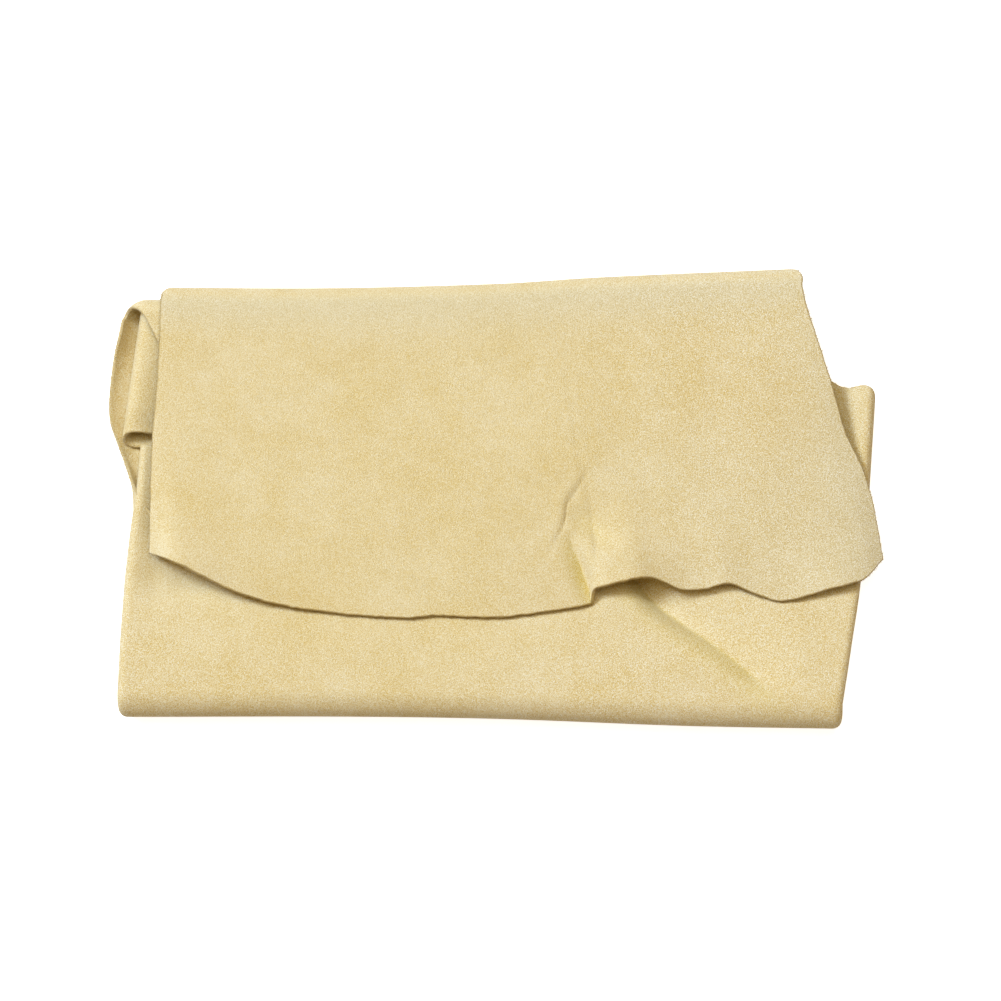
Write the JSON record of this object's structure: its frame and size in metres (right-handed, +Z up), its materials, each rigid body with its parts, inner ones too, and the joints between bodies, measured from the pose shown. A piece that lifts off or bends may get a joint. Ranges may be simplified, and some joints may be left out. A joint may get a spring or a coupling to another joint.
{
  "type": "folded chamois leather",
  "caption": "Soft tan chamois leather for wiping and drying, folded like an envelope: side margins turned in, lower part folded up, wavy-edged flap folded down over it.",
  "frame": {"origin": "on the surface the leather lies on, under the middle of the folded skin", "axes": "+X to the right along the folds, +Y away from the reader towards the top fold, +Z up out of the surface it lies on"},
  "size_m": [0.3032, 0.1852, 0.0191],
  "materials": {
    "chamois": "matt napped suede, oil tanned, raw cut edges"
  },
  "bodies": {
    "back": {"back_panel": "chamois", "left_under_ply": "chamois", "right_under_ply": "chamois"},
    "flap": {"flap": "chamois", "corner_lip": "chamois"},
    "front": {"front_panel": "chamois"},
    "left_margin": {"left_turn_in": "chamois"},
    "right_margin": {"right_turn_in": "chamois"}
  },
  "joints": [
    {"name": "flap_fold", "type": "hinge", "parent": "back", "child": "flap", "pos_m": [0, 0.0908, 0.009], "axis": [-0.9995, -0.0312, 0], "range_deg": [0, 170]},
    {"name": "front_fold", "type": "hinge", "parent": "back", "child": "front", "pos_m": [0, -0.0887, 0.0085], "axis": [0.9999, -0.0168, 0], "range_deg": [0, 85]},
    {"name": "left_fold", "type": "hinge", "parent": "back", "child": "left_margin", "pos_m": [-0.14385, 0.0528, 0.0066], "axis": [-0.1085, -0.9941, 0], "range_deg": [0, 85]},
    {"name": "right_fold", "type": "hinge", "parent": "back", "child": "right_margin", "pos_m": [0.14835, 0.0245, 0.0056], "axis": [0.0947, 0.9955, 0], "range_deg": [0, 136]}
  ],
  "couplings": [
    {"joint": "front_fold", "follows": "flap_fold", "ratio": 0.5},
    {"joint": "left_fold", "follows": "flap_fold", "ratio": 0.5},
    {"joint": "right_fold", "follows": "flap_fold", "ratio": 0.8}
  ]
}
